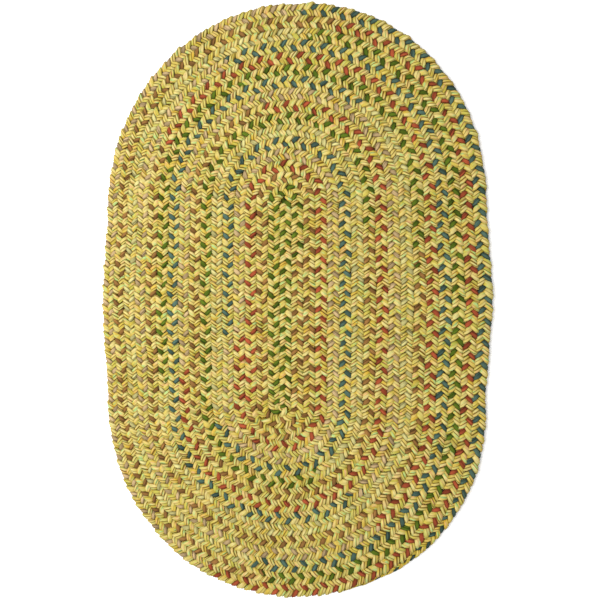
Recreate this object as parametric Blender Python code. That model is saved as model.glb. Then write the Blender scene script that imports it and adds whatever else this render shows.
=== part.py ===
"""Oval braided rug: one flat three-strand braid, coiled round a straight centre row and laced edge to edge."""
import math
from collections import namedtuple

import bmesh
import bpy

# Driving sizes, in metres. The oval's long axis is Y, and it rests on z = 0.
WIDTH = 0.6096
LENGTH = 0.9144
THICKNESS = 0.011
ROWS_ACROSS = 33
PITCH = WIDTH / ROWS_ACROSS

# The coil winds about two centres, so that its left rows meet the right ones half a row apart at the lower end.
TOP_CENTRE = (0.0, LENGTH / 2 - ROWS_ACROSS / 2 * PITCH)
BOTTOM_CENTRE = (-PITCH / 2, (ROWS_ACROSS - 1) / 2 * PITCH - LENGTH / 2)
LAST_ROW = ROWS_ACROSS // 2

# The straight sides bow out: the outer rows lie this share of the half width further out at the middle of the rug.
BOW = 0.03
BOW_REACH = BOTTOM_CENTRE[1]

# Facets of each straight run and of each half turn.
STRAIGHT_STEPS = 4
TURN_STEPS = 20

# The outer end narrows to nothing on the last half turn, between these two of its facets.
TAPER_START = 2
TAPER_END = 8

# The braid's section, as shares of the pitch and of the thickness: two ridges of stitches over a flat foot.
SectionPoint = namedtuple("SectionPoint", "across height")
UPPER_SECTION = (
    SectionPoint(-0.5, 0.68),
    SectionPoint(-0.26, 1.0),
    SectionPoint(0.0, 0.92),
    SectionPoint(0.26, 1.0),
    SectionPoint(0.5, 0.68),
)
LOWER_SECTION = (
    SectionPoint(-0.5, 0.14),
    SectionPoint(-0.3, 0.0),
    SectionPoint(0.3, 0.0),
    SectionPoint(0.5, 0.14),
)
MERGE_DISTANCE = 1e-5

STRAW = (0.47, 0.37, 0.11, 1.0)

# One place along the braid: its middle, the level direction out from the rug's centre, and how full its section is.
Station = namedtuple("Station", "middle outward fullness")


def straight_run(side, row, start, end):
    """Stations of one straight row, on the right (side 1) or the left (side -1) of the rug."""
    return [
        Station((side * row * PITCH, start + (end - start) * step / STRAIGHT_STEPS), (side, 0.0), 1.0)
        for step in range(STRAIGHT_STEPS + 1)
    ]


def half_turn(centre, radius, start_angle, steps=TURN_STEPS, fullness=lambda step: 1.0):
    """Stations of one clockwise half turn, or of its first steps, about a centre."""
    stations = []
    for step in range(steps + 1):
        angle = start_angle - math.pi * step / TURN_STEPS
        outward = (math.cos(angle), math.sin(angle))
        middle = (centre[0] + radius * outward[0], centre[1] + radius * outward[1])
        stations.append(Station(middle, outward, fullness(step)))
    return stations


def taper(step):
    """Fullness of the outer end: whole up to the taper's start, and nothing at its end."""
    return min(1.0, (TAPER_END - step) / (TAPER_END - TAPER_START))


def coil():
    """Stations of the whole braid, from the rug's centre to the outer end."""
    stations = []
    for row in range(LAST_ROW):
        stations += straight_run(1, row, TOP_CENTRE[1], BOTTOM_CENTRE[1])
        stations += half_turn(BOTTOM_CENTRE, (row + 0.5) * PITCH, 0.0)[1:]
        stations += straight_run(-1, row + 1, BOTTOM_CENTRE[1], TOP_CENTRE[1])[1:]
        stations += half_turn(TOP_CENTRE, (row + 1) * PITCH, math.pi)[1:-1]
    stations += straight_run(1, LAST_ROW, TOP_CENTRE[1], BOTTOM_CENTRE[1])
    stations += half_turn(BOTTOM_CENTRE, (LAST_ROW + 0.5) * PITCH, 0.0, TAPER_END, taper)[1:]
    return stations


def bowed(x, y):
    """Moves a point of a straight-sided oval to where it lies in the bowed one."""
    ease = math.sin(math.pi / 2 * min(abs(y / BOW_REACH), 1.0)) ** 2
    return x * (1.0 - BOW * ease * abs(x) / (WIDTH / 2)), y


def section_place(station, point, edge_height):
    """Where one point of the section lies at a station; a tapered section shrinks towards its inner edge."""
    offset = ((point.across + 0.5) * station.fullness - 0.5) * PITCH
    height = edge_height + (point.height - edge_height) * station.fullness
    x = station.middle[0] + offset * station.outward[0]
    y = station.middle[1] + offset * station.outward[1]
    return (*bowed(x, y), height * THICKNESS)


def add_strip(mesh, stations, section):
    """Lays one face of the braid, a grid as long as the stations and as wide as the section."""
    grid = bmesh.ops.create_grid(mesh, x_segments=len(section) - 1, y_segments=len(stations) - 1, size=1.0)
    for index, vert in enumerate(grid["verts"]):
        station = stations[index // len(section)]
        point = section[index % len(section)]
        vert.co = section_place(station, point, section[-1].height)


def add_face(mesh, section):
    """One whole face of the rug: the coiled braid, its rows merged at their edges, and the rounded inner end."""
    add_strip(mesh, coil(), section)
    outer_half = [point for point in section if point.across >= 0.0]
    add_strip(mesh, half_turn(TOP_CENTRE, 0.0, math.pi), outer_half)


def build_braid():
    """The rug as one closed solid."""
    mesh = bmesh.new()
    add_face(mesh, UPPER_SECTION)
    add_face(mesh, LOWER_SECTION)
    bmesh.ops.remove_doubles(mesh, verts=mesh.verts, dist=MERGE_DISTANCE)
    bmesh.ops.dissolve_degenerate(mesh, edges=mesh.edges, dist=MERGE_DISTANCE)
    bmesh.ops.holes_fill(mesh, edges=mesh.edges, sides=TURN_STEPS + 1)
    rims = [edge for edge in mesh.edges if edge.is_boundary]
    bmesh.ops.bridge_loops(mesh, edges=rims)
    bmesh.ops.triangulate(mesh, faces=mesh.faces)
    bmesh.ops.recalc_face_normals(mesh, faces=mesh.faces)
    data = bpy.data.meshes.new("braid")
    mesh.to_mesh(data)
    mesh.free()
    data.shade_smooth()
    return data


def yarn_material():
    """Dull heathered yarn."""
    material = bpy.data.materials.new("straw_yarn")
    material.use_nodes = True
    shader = material.node_tree.nodes["Principled BSDF"]
    shader.inputs["Base Color"].default_value = STRAW
    shader.inputs["Roughness"].default_value = 0.9
    shader.inputs["Metallic"].default_value = 0.0
    return material


for old in list(bpy.data.objects):
    bpy.data.objects.remove(old, do_unlink=True)

braid = bpy.data.objects.new("braid", build_braid())
braid.data.materials.append(yarn_material())
bpy.context.scene.collection.objects.link(braid)
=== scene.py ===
import math
from collections import namedtuple

import bmesh
import bpy
import numpy as np
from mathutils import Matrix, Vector


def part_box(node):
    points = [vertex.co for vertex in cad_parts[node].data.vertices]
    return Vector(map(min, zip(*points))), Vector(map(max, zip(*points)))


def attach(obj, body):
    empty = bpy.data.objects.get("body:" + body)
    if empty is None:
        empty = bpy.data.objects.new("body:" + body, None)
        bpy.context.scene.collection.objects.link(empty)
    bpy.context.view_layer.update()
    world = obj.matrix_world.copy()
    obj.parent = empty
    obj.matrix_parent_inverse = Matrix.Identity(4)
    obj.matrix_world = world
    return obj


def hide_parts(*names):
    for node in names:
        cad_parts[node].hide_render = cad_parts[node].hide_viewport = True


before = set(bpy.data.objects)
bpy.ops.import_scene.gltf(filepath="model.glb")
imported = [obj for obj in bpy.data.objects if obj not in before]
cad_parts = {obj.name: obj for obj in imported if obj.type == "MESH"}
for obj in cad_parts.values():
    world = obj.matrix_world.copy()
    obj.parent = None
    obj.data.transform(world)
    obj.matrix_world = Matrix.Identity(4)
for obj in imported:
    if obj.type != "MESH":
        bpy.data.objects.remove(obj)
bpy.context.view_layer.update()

# ---- Straw strands --------------------------------------------------------------------------
# Two of the braid's three strands are soft straw-coloured yarn of six plies.  The braid is
# coiled flat from its start in the middle, and the rows are laced edge to edge.

ROWS_ACROSS = 33
rug_low, rug_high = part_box("braid")
WIDTH = rug_high[0] - rug_low[0]
LENGTH = rug_high[1] - rug_low[1]
THICKNESS = rug_high[2] - rug_low[2]
PITCH = WIDTH / ROWS_ACROSS
LAST_TURN = ROWS_ACROSS - 1

# The coil winds about two centres half a row apart, and its straight sides bow out a little.
TOP_CENTRE = (0.0, (LENGTH - WIDTH) / 2)
BOTTOM_CENTRE = (-PITCH / 2, LAST_TURN / 2 * PITCH - LENGTH / 2)
STRAIGHT = TOP_CENTRE[1] - BOTTOM_CENTRE[1]
BOW = 0.03

# The braid is rounded at its start, and drawn out thin between two angles of its last turn.
TIP = 0.55 * PITCH
TAPER_START = math.radians(18)
TAPER_END = math.radians(72)
THINNEST = 0.12
TAPER_CURVE = 0.7

turn_radii = (np.arange(ROWS_ACROSS) + 1) / 2 * PITCH
turn_starts = np.append(0.0, np.cumsum(STRAIGHT + math.pi * turn_radii))[:ROWS_ACROSS]
BRAID_LENGTH = turn_starts[LAST_TURN] + STRAIGHT + turn_radii[LAST_TURN] * TAPER_END


def lay_on_coil(along, across):
    """Where points lie on the floor, from their place along the braid and across it, outwards."""
    turn = np.clip(np.searchsorted(turn_starts, along, side="right") - 1, 0, LAST_TURN)
    on_right = turn % 2 == 0
    side = np.where(on_right, 1.0, -1.0)
    centre_x = np.where(on_right, BOTTOM_CENTRE[0], TOP_CENTRE[0])
    centre_y = np.where(on_right, BOTTOM_CENTRE[1], TOP_CENTRE[1])
    run = along - turn_starts[turn]
    angle = -np.maximum(run - STRAIGHT, 0.0) / turn_radii[turn]
    short = np.maximum(STRAIGHT - run, 0.0)
    reach = turn_radii[turn] + across
    x = centre_x + side * reach * np.cos(angle)
    y = centre_y + side * (reach * np.sin(angle) + short)
    ease = np.sin(math.pi / 2 * np.minimum(np.abs(y / BOTTOM_CENTRE[1]), 1.0)) ** 2
    return x * (1.0 - BOW * ease * np.abs(x) / (WIDTH / 2)), y


def fullness(along):
    """The braid's share of its full width: rounded at its start and drawn out thin at its end."""
    turned = (along - turn_starts[LAST_TURN] - STRAIGHT) / turn_radii[LAST_TURN]
    tail = np.clip((TAPER_END - turned) / (TAPER_END - TAPER_START), 0.0, 1.0)
    start = np.sqrt(np.clip(1.0 - np.minimum(along / TIP, 0.0) ** 2, 0.0, 1.0))
    return np.maximum(tail * start, THINNEST)


# A strand swings across its row and back in each period of the plait, and dives under the
# others twice.  The plait is a little tighter at the middle of the rug.  DIVE is how abruptly a
# strand goes under, CORNER how sharply it turns at the row's edge, and HASTE how much it hurries
# below.  STATIONS are the places of its points in each quarter of a period.
PERIOD_INNER = 1.62 * PITCH
PERIOD_OUTER = 1.72 * PITCH
FIRST_PERIOD = -0.25
QUARTERS = 4
STATIONS = (1 / 32, 3 / 32, 5 / 32, 7 / 32)
DIVE = 1.6
CORNER = 0.92
HASTE = 0.5

stretch = (PERIOD_OUTER - PERIOD_INNER) / BRAID_LENGTH
PERIODS = math.log(PERIOD_OUTER / PERIOD_INNER) / stretch
MIDDLE_PERIOD = math.floor(PERIODS / 2)
LAST_PERIOD = math.floor(PERIODS)


def run_of(periods):
    """Metres along the braid after so many periods of the plait."""
    return PERIOD_INNER / stretch * (np.exp(stretch * periods) - 1.0)


# How far hand plaiting strays: the row sideways, and as shares the swing, the lift and the size.
WANDER_STEP = 0.5
WANDER_MARGIN = 2.0
ROW_SEED = 11
ROW_WANDER = 0.035 * PITCH
SWING_WANDER = 0.06
LIFT_WANDER = 0.06
SIZE_WANDER = 0.07

knots = np.arange(-WANDER_MARGIN, PERIODS + WANDER_MARGIN, WANDER_STEP)
row_drift = np.random.default_rng(ROW_SEED).normal(0.0, ROW_WANDER, len(knots))

# The section across a strand is squarish, with a groove between plies, and flat on the floor.
StrandSize = namedtuple("StrandSize", "plies half_width half_height swing pinch")
GROOVE = 0.82
SQUARENESS = 0.75
PRESSED_HEIGHT = 0.0001


def squarish(share):
    return math.copysign(abs(share) ** SQUARENESS, share)


def section(name, size):
    """The outline that a strand is swept with, one round lobe for each ply."""
    profile = bpy.data.curves.new(name + "_profile", "CURVE")
    outline = profile.splines.new("POLY")
    outline.points.add(2 * size.plies - 1)
    for number, point in enumerate(outline.points):
        turn = math.pi * number / size.plies
        bulge = 1.0 if number % 2 else GROOVE
        flat = size.half_width * bulge * squarish(math.cos(turn))
        high = size.half_height * bulge * squarish(math.sin(turn))
        point.co = (flat, high, 0, 1)
    outline.use_cyclic_u = True
    return bpy.data.objects.new(name + "_profile", profile)


def sweep(name, outline, places, tilts, fatness):
    """A smooth mesh of the outline carried through the places, closed at both ends."""
    curve = bpy.data.curves.new(name, "CURVE")
    curve.dimensions = "3D"
    curve.twist_mode = "Z_UP"
    curve.bevel_mode = "OBJECT"
    curve.bevel_object = outline
    curve.use_fill_caps = True
    spline = curve.splines.new("POLY")
    spline.points.add(len(places) - 1)
    spline.points.foreach_set("co", places.astype(np.float32).ravel())
    spline.points.foreach_set("tilt", tilts.astype(np.float32))
    spline.points.foreach_set("radius", fatness.astype(np.float32))
    curve_object = bpy.data.objects.new(name, curve)
    bpy.context.scene.collection.objects.link(curve_object)
    graph = bpy.context.evaluated_depsgraph_get()
    mesh = bpy.data.meshes.new_from_object(curve_object.evaluated_get(graph))
    bpy.data.objects.remove(curve_object)
    bpy.data.objects.remove(outline)
    mesh.name = name
    mesh.shade_smooth()
    return mesh


def press_flat(mesh):
    """Presses the underside flat where it lies on the floor."""
    points = np.empty(3 * len(mesh.vertices), np.float32)
    mesh.vertices.foreach_get("co", points)
    points[2::3] = np.maximum(points[2::3], PRESSED_HEIGHT)
    mesh.vertices.foreach_set("co", points)
    mesh.update()


BAKE_COLUMNS = 23
BAKE_EDGE = 0.03


def lay_out_maps(mesh, start, end):
    """The Yarn map has metres along the strand and its turn around it.

    The OFBake map lays the same long strip out in columns side by side."""
    uv = np.empty(2 * len(mesh.loops), np.float32)
    mesh.uv_layers[0].uv.foreach_get("vector", uv)
    share, around = uv[0::2].copy(), uv[1::2].copy()
    uv[0::2] = start + share * (end - start)
    mesh.uv_layers[0].uv.foreach_set("vector", uv)
    mesh.uv_layers[0].name = "Yarn"
    corners = np.empty(len(mesh.polygons), np.int32)
    mesh.polygons.foreach_get("loop_total", corners)
    first_corners = np.append(0, np.cumsum(corners)[:-1])
    columns = np.floor(np.minimum.reduceat(share, first_corners) * BAKE_COLUMNS)
    column = np.repeat(np.clip(columns, 0, BAKE_COLUMNS - 1), corners)
    uv[0::2] = (column + BAKE_EDGE + around * (1.0 - 2.0 * BAKE_EDGE)) / BAKE_COLUMNS
    uv[1::2] = (share * BAKE_COLUMNS - column) * (1.0 - BAKE_EDGE) + BAKE_EDGE / 4
    mesh.uv_layers.new(name="OFBake", do_init=False).uv.foreach_set("vector", uv)


def strand(name, size, phase, first, last, seed):
    """One strand from one period of the flat plait to another, going over and under."""
    quarters = np.arange(round(first * QUARTERS), round(last * QUARTERS)) / QUARTERS
    own = np.append((quarters[:, None] + np.array(STATIONS)).ravel(), last + STATIONS[0])
    wave = 2 * math.pi * own
    turns = own - phase - HASTE / (8 * math.pi) * np.sin(4 * wave)
    along = run_of(turns)
    full = fullness(along)
    random = np.random.default_rng(seed)

    def wander(amount):
        return np.interp(turns, knots, random.normal(0.0, amount, len(knots)))

    zigzag = np.arcsin(CORNER * np.sin(wave)) / math.asin(CORNER)
    across = size.swing * zigzag * (1.0 + wander(SWING_WANDER)) * full
    tucked_in = np.where(along > 0, PITCH / 2, 0.0) * (1.0 - full)
    across += np.interp(turns, knots, row_drift) - tucked_in
    lift = (THICKNESS / 2 - size.half_height) * np.tanh(DIVE * np.sin(2 * wave)) / math.tanh(DIVE)
    height = THICKNESS / 2 + lift * full * (1.0 - np.abs(wander(LIFT_WANDER)))
    pinched = 1.0 - size.pinch * np.abs(np.cos(2 * wave))
    fatness = full ** TAPER_CURVE * (1.0 + wander(SIZE_WANDER)) * pinched
    facing = np.clip(math.sqrt(2) * np.cos(wave), -1.0, 1.0)
    x, y = lay_on_coil(along, across)
    places = np.stack([x, y, height, np.ones(len(own))], axis=-1)

    mesh = sweep(name, section(name, size), places, math.pi / 2 * (facing - 1.0), fatness)
    press_flat(mesh)
    lay_out_maps(mesh, along[0], along[-1])
    piece = bpy.data.objects.new(name, mesh)
    bpy.context.scene.collection.objects.link(piece)
    return piece


def calculate(tree, operation, first, second=0.0):
    node = tree.nodes.new("ShaderNodeMath")
    node.operation = operation
    for socket, value in zip(node.inputs, (first, second)):
        if isinstance(value, (int, float)):
            socket.default_value = value
        else:
            tree.links.new(value, socket)
    return node.outputs[0]


def colour_by(tree, value, stops):
    ramp = tree.nodes.new("ShaderNodeValToRGB")
    elements = ramp.color_ramp.elements
    elements[0].position = stops[0][0]
    elements[0].color = (*stops[0][1], 1)
    elements[1].position = stops[-1][0]
    elements[1].color = (*stops[-1][1], 1)
    for position, colour in stops[1:-1]:
        elements.new(position).color = (*colour, 1)
    tree.links.new(value, ramp.inputs[0])
    return ramp.outputs[0]


def mix_colours(tree, kind, share, first, second):
    mix = tree.nodes.new("ShaderNodeMix")
    mix.data_type = "RGBA"
    mix.blend_type = kind
    for socket, value in (("Factor", share), ("A", first), ("B", second)):
        if isinstance(value, float):
            mix.inputs[socket].default_value = value
        elif isinstance(value, tuple):
            mix.inputs[socket].default_value = (*value, 1)
        else:
            tree.links.new(value, mix.inputs[socket])
    return mix.outputs["Result"]


def patches(tree, along, per_metre, around, per_ply, place, detail=1.0):
    """Soft uneven patches, so many to the metre along the strand and to each ply around it.

    The place only keeps one set of patches apart from the others."""
    spot = tree.nodes.new("ShaderNodeCombineXYZ")
    tree.links.new(calculate(tree, "MULTIPLY", along, per_metre), spot.inputs[0])
    tree.links.new(calculate(tree, "MULTIPLY", around, per_ply), spot.inputs[1])
    spot.inputs[2].default_value = place
    noise = tree.nodes.new("ShaderNodeTexNoise")
    noise.inputs["Scale"].default_value = 1.0
    noise.inputs["Detail"].default_value = detail
    tree.links.new(spot.outputs[0], noise.inputs["Vector"])
    return noise.outputs["Fac"]


# A yarn's material, with what its colours follow: metres along the strand, which ply, plies
# counted around the strand, how near the ply's crest is, and the painted shade of the grooves and
# hollows.
Yarn = namedtuple("Yarn", "material tree shader along ply plies_around crest shading")
BLACK = (0.0, 0.0, 0.0)
WHITE = (1.0, 1.0, 1.0)
YARN_ROUGHNESS = 0.9
YARN_SHINE = 0.04
YARN_FUZZ = 0.02
FUZZ_ROUGHNESS = 0.6

# The plies sway around the strand. The painted shade in the grooves between them is full in some patches
# and gone in others.
SWAY = 1.0
SWAYS_PER_METRE = 40.0
SWAY_PLACE = 50.0
GROOVES_PER_METRE = 45.0
GROOVES_PER_PLY = 1.3
GROOVE_PLACE = 60.0
GROOVE_SHADE_GONE = 0.66
GROOVE_SHADE_FULL = 0.48
GROOVE_FLOOR = 0.10
GROOVE_LIP = 0.75
DEEP_IN = 0.2
ON_TOP = 0.8


def plain_yarn(name, plies, painted_groove_shade, painted_depth_shade):
    """A matt yarn with no colour yet, with painted shade in its grooves and down between the strands."""
    material = bpy.data.materials.new(name)
    material.use_nodes = True
    tree = material.node_tree
    shader = tree.nodes["Principled BSDF"]
    shader.inputs["Roughness"].default_value = YARN_ROUGHNESS
    shader.inputs["Specular IOR Level"].default_value = YARN_SHINE
    shader.inputs["Sheen Weight"].default_value = YARN_FUZZ
    shader.inputs["Sheen Roughness"].default_value = FUZZ_ROUGHNESS

    uv = tree.nodes.new("ShaderNodeUVMap")
    uv.uv_map = "Yarn"
    split = tree.nodes.new("ShaderNodeSeparateXYZ")
    tree.links.new(uv.outputs[0], split.inputs[0])
    along = split.outputs["X"]
    even_plies = calculate(tree, "MULTIPLY", split.outputs["Y"], plies)
    sway = patches(tree, along, SWAYS_PER_METRE, even_plies, 1.0, SWAY_PLACE)
    plies_around = calculate(tree, "ADD", even_plies, calculate(tree, "MULTIPLY", sway, SWAY))
    ply = calculate(tree, "FLOOR", plies_around)
    into_ply = calculate(tree, "FRACT", plies_around)
    crest = calculate(tree, "SINE", calculate(tree, "MULTIPLY", into_ply, math.pi))

    # Painted shade: the grooves between plies are darkened in the colour where the ply's crest is low,
    # full or faint in patches.
    groove = calculate(tree, "FLOOR", calculate(tree, "ADD", plies_around, 0.5))
    by_groove = patches(tree, along, GROOVES_PER_METRE, groove, GROOVES_PER_PLY, GROOVE_PLACE)
    painted_groove_shade_patches = colour_by(tree, by_groove, ((GROOVE_SHADE_FULL, painted_groove_shade), (GROOVE_SHADE_GONE, WHITE)))
    out_of_groove = colour_by(tree, crest, ((GROOVE_FLOOR, BLACK), (GROOVE_LIP, WHITE)))
    painted_groove_shade_tone = mix_colours(tree, "MIX", out_of_groove, painted_groove_shade_patches, WHITE)

    # Painted shade: the colour darkens towards the braid's mid-height, down between the strands, and
    # lightens towards its top and underside.
    place = tree.nodes.new("ShaderNodeTexCoord")
    spot = tree.nodes.new("ShaderNodeSeparateXYZ")
    tree.links.new(place.outputs["Object"], spot.inputs[0])
    from_middle = calculate(tree, "SUBTRACT", spot.outputs["Z"], THICKNESS / 2)
    outward = calculate(tree, "ABSOLUTE", from_middle)
    height = calculate(tree, "MULTIPLY", outward, 2 / THICKNESS)
    painted_depth_shade_tone = colour_by(tree, height, ((DEEP_IN, painted_depth_shade), (ON_TOP, WHITE)))
    shading = mix_colours(tree, "MULTIPLY", 1.0, painted_groove_shade_tone, painted_depth_shade_tone)
    return Yarn(material, tree, shader, along, ply, plies_around, crest, shading)


# Fine fibres lie along each ply, as slight changes of tone and as relief over its roundness.
FIBRES_PER_METRE = 260.0
FIBRES_PER_PLY = 5.0
FIBRE_PLACE = 5.0
FIBRE_DETAIL = 2.0
FIBRE_TONES = ((0.3, (0.78, 0.78, 0.74)), (0.65, (1.12, 1.12, 1.14)))
FIBRE_RELIEF = 0.5
RELIEF_STRENGTH = 0.5
RELIEF_HEIGHT = 0.0005


def dye_yarn(yarn, tone):
    """Gives a yarn its colour, with its painted shade, its fibres and their relief."""
    tree = yarn.tree
    fine = patches(
        tree, yarn.along, FIBRES_PER_METRE, yarn.plies_around, FIBRES_PER_PLY, FIBRE_PLACE, FIBRE_DETAIL)
    relief = calculate(tree, "ADD", calculate(tree, "MULTIPLY", fine, FIBRE_RELIEF), yarn.crest)
    bump = tree.nodes.new("ShaderNodeBump")
    bump.inputs["Strength"].default_value = RELIEF_STRENGTH
    bump.inputs["Distance"].default_value = RELIEF_HEIGHT
    tree.links.new(relief, bump.inputs["Height"])
    tree.links.new(bump.outputs[0], yarn.shader.inputs["Normal"])
    # The painted shade of the grooves and hollows darkens the colour here.
    tone = mix_colours(tree, "MULTIPLY", 1.0, tone, yarn.shading)
    tone = mix_colours(tree, "MULTIPLY", 1.0, tone, colour_by(tree, fine, FIBRE_TONES))
    tree.links.new(tone, yarn.shader.inputs["Base Color"])


CREAM = (0.50, 0.42, 0.165)
SAND = (0.44, 0.345, 0.064)
GOLD = (0.46, 0.30, 0.035)
LEAF = (0.32, 0.33, 0.055)
MINT = (0.31, 0.42, 0.15)
PEACH = (0.48, 0.29, 0.12)
OLIVE = (0.23, 0.17, 0.030)
# Painted shade colours for the straw yarn: its grooves between plies and its hollows down between
# strands are darkened with these.
STRAW_GROOVE_PAINTED_SHADE = (0.22, 0.145, 0.012)
STRAW_DEPTH_PAINTED_SHADE = (1.00, 0.86, 0.27)

# The heather: whole stitches differ, then the plies within them, and there are small flecks.
STITCH_TONES = (
    (0.30, LEAF), (0.40, SAND), (0.48, CREAM), (0.56, SAND), (0.64, GOLD), (0.72, PEACH))
PLY_TONES = (
    (0.30, OLIVE), (0.38, LEAF), (0.45, SAND), (0.51, CREAM), (0.57, CREAM), (0.63, GOLD),
    (0.70, OLIVE))
MINT_FLECKS = ((0.60, BLACK), (0.66, WHITE))
PEACH_FLECKS = ((0.32, WHITE), (0.38, BLACK))
STITCHES_PER_METRE = 60.0
STITCHES_PER_PLY = 0.12
TONES_PER_METRE = 34.0
TONES_PER_PLY = 1.7
TONE_PLACE = 3.0
TONE_DETAIL = 2.0
PLY_SHARE = 0.55
FLECKS_PER_METRE = 150.0
FLECKS_PER_PLY = 1.3
FLECK_PLACE = 5.0
YARNS_APART = 7.0

STRAW_SIZE = StrandSize(
    plies=6, half_width=0.265 * PITCH, half_height=0.26 * THICKNESS, swing=0.49 * PITCH, pinch=0.04)
STRAW_PHASE = 0.3125


def straw_yarn(name, seed):
    yarn = plain_yarn(name, STRAW_SIZE.plies, STRAW_GROOVE_PAINTED_SHADE, STRAW_DEPTH_PAINTED_SHADE)
    tree = yarn.tree
    place = YARNS_APART * seed
    by_stitch = patches(tree, yarn.along, STITCHES_PER_METRE, yarn.ply, STITCHES_PER_PLY, place)
    by_ply = patches(
        tree, yarn.along, TONES_PER_METRE, yarn.ply, TONES_PER_PLY, place + TONE_PLACE, TONE_DETAIL)
    flecks = patches(
        tree, yarn.along, FLECKS_PER_METRE, yarn.plies_around, FLECKS_PER_PLY, place + FLECK_PLACE)
    stitch_tone = colour_by(tree, by_stitch, STITCH_TONES)
    ply_tone = colour_by(tree, by_ply, PLY_TONES)
    tone = mix_colours(tree, "MIX", PLY_SHARE, stitch_tone, ply_tone)
    tone = mix_colours(tree, "MIX", colour_by(tree, flecks, MINT_FLECKS), tone, MINT)
    tone = mix_colours(tree, "MIX", colour_by(tree, flecks, PEACH_FLECKS), tone, PEACH)
    dye_yarn(yarn, tone)
    return yarn.material


def fit(piece, material):
    piece.data.materials.clear()
    piece.data.materials.append(material)
    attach(piece, "root")
    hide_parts("braid")


# Each strand is made in two lengths, one for the inner half of the braid and one for the outer.
SEED_STEP = 10
lengths = ((FIRST_PERIOD, MIDDLE_PERIOD), (MIDDLE_PERIOD, LAST_PERIOD))
for letter, side, seed in (("a", 1, 1), ("b", -1, 2)):
    straw = straw_yarn(f"straw_yarn_{letter}", seed)
    for number, (first, last) in enumerate(lengths, start=1):
        piece = strand(
            f"straw_strand_{letter}_{number}", STRAW_SIZE, side * STRAW_PHASE, first, last,
            SEED_STEP * seed + number)
        fit(piece, straw)

# ---- Space-dyed strand ----------------------------------------------------------------------
# The third strand is a slightly thinner yarn of five plies, dyed in long stretches of colour
# that follow each other in the same order from the rug's middle to its edge.

DYED_SIZE = StrandSize(
    plies=5, half_width=0.23 * PITCH, half_height=0.27 * THICKNESS, swing=0.455 * PITCH, pinch=0.20)
DYED_PHASE = 0.0
DYED_SEED = 3

GREEN = (0.065, 0.100, 0.008)
BROWN = (0.200, 0.098, 0.028)
RED = (0.25, 0.052, 0.020)
TAUPE = (0.37, 0.262, 0.130)
TEAL = (0.052, 0.092, 0.070)
SAGE = (0.42, 0.38, 0.15)
# Painted shade colours for the dyed yarn: its grooves between plies and its hollows down between strands
# are darkened with these.
DYED_GROOVE_PAINTED_SHADE = (0.35, 0.35, 0.35)
DYED_DEPTH_PAINTED_SHADE = (0.5, 0.5, 0.5)

# The yarn's repeat, as the periods of the plait that each dye lasts.  The braid starts part way
# through a green stretch, and each change is ragged by a few row widths from ply to ply.
DyeStretch = namedtuple("DyeStretch", "colour periods")
DYES = (
    DyeStretch(BROWN, 41), DyeStretch(RED, 37), DyeStretch(TAUPE, 37),
    DyeStretch(TEAL, 37), DyeStretch(SAGE, 37), DyeStretch(GREEN, 34))
FIRST_GREEN = 25
DYE_RAGGED = 4.0 * PITCH
DYE_PLACE = 90.0
PATCH_MIDDLE = 0.5
UNEVEN_DYE = ((0.35, (0.65, 0.65, 0.65)), (0.65, (1.2, 1.2, 1.2)))

dye_stops = [(0.0, GREEN)]
dyed_so_far = FIRST_GREEN
while dyed_so_far < PERIODS:
    dye = DYES[(len(dye_stops) - 1) % len(DYES)]
    dye_stops.append((run_of(dyed_so_far) / BRAID_LENGTH, dye.colour))
    dyed_so_far += dye.periods

yarn = plain_yarn("dyed_yarn", DYED_SIZE.plies, DYED_GROOVE_PAINTED_SHADE, DYED_DEPTH_PAINTED_SHADE)
tree = yarn.tree
by_ply = patches(tree, yarn.along, TONES_PER_METRE, yarn.ply, TONES_PER_PLY, DYE_PLACE)
ragged = calculate(tree, "MULTIPLY", calculate(tree, "SUBTRACT", by_ply, PATCH_MIDDLE), DYE_RAGGED)
dye_place = calculate(tree, "DIVIDE", calculate(tree, "ADD", yarn.along, ragged), BRAID_LENGTH)
dye_tone = colour_by(tree, dye_place, dye_stops)
dye_tone.node.color_ramp.interpolation = "CONSTANT"
uneven_tone = colour_by(tree, by_ply, UNEVEN_DYE)
dye_yarn(yarn, mix_colours(tree, "MULTIPLY", 1.0, dye_tone, uneven_tone))

for number, (first, last) in enumerate(lengths, start=1):
    piece = strand(
        f"dyed_strand_{number}", DYED_SIZE, DYED_PHASE, first, last, SEED_STEP * DYED_SEED + number)
    fit(piece, yarn.material)

# ---- Floor ----------------------------------------------------------------------------------
# A plain pale floor under the rug, far wider than the picture.

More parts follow.
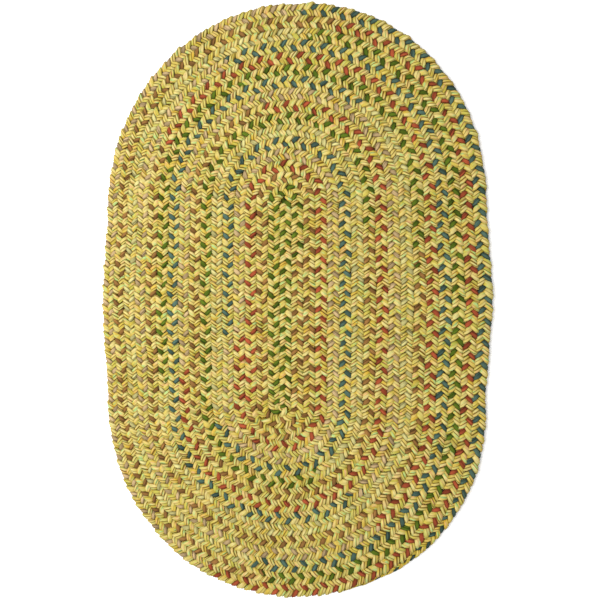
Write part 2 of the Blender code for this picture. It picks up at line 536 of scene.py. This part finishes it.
FLOOR_HALF = 12.0
FLOOR_PALE = (0.92, 0.92, 0.92, 1)
FLOOR_ROUGHNESS = 0.9
floor_mesh = bpy.data.meshes.new("floor")
shape = bmesh.new()
bmesh.ops.create_grid(shape, x_segments=1, y_segments=1, size=FLOOR_HALF)
shape.to_mesh(floor_mesh)
shape.free()
floor = bpy.data.objects.new("floor", floor_mesh)
bpy.context.scene.collection.objects.link(floor)
floor_paint = bpy.data.materials.new("floor_paint")
floor_paint.use_nodes = True
paint = floor_paint.node_tree.nodes["Principled BSDF"]
paint.inputs["Base Color"].default_value = FLOOR_PALE
paint.inputs["Roughness"].default_value = FLOOR_ROUGHNESS
floor_mesh.materials.append(floor_paint)

# ---- Light ----------------------------------------------------------------------------------
# Even white light from all round, and one soft lamp above the rug's left side.

LAMP_PLACE = Vector((-0.55, 0.05, 1.15))
LAMP_SIZE = 1.2
LAMP_POWER = 25.0
ROOM_WHITE = (1, 1, 1, 1)
ROOM_LIGHT = 0.82
room = bpy.data.worlds.new("room")
room.use_nodes = True
room.node_tree.nodes["Background"].inputs["Color"].default_value = ROOM_WHITE
room.node_tree.nodes["Background"].inputs["Strength"].default_value = ROOM_LIGHT
bpy.context.scene.world = room
bpy.context.scene.view_settings.view_transform = "Standard"
bpy.context.scene.cycles.use_denoising = False
lamp_data = bpy.data.lights.new("lamp", "AREA")
lamp_data.size = LAMP_SIZE
lamp_data.energy = LAMP_POWER
lamp = bpy.data.objects.new("lamp", lamp_data)
lamp.location = LAMP_PLACE
lamp.rotation_euler = (-LAMP_PLACE).to_track_quat("-Z", "Y").to_euler()
bpy.context.scene.collection.objects.link(lamp)

# ---- Camera ---------------------------------------------------------------------------------
# Looks down on the rug, a few degrees off the upright towards its left side.

CAMERA_PLACE = (0.1681, 0.0005, 0.848)
CAMERA_LEAN = math.radians(9.83)
SENSOR_WIDTH = 36.0
LENS = 33.26
camera_data = bpy.data.cameras.new("camera")
camera_data.sensor_width = SENSOR_WIDTH
camera_data.lens = LENS
camera = bpy.data.objects.new("camera", camera_data)
camera.location = CAMERA_PLACE
camera.rotation_euler = (0.0, CAMERA_LEAN, 0.0)
bpy.context.scene.collection.objects.link(camera)
bpy.context.scene.camera = camera
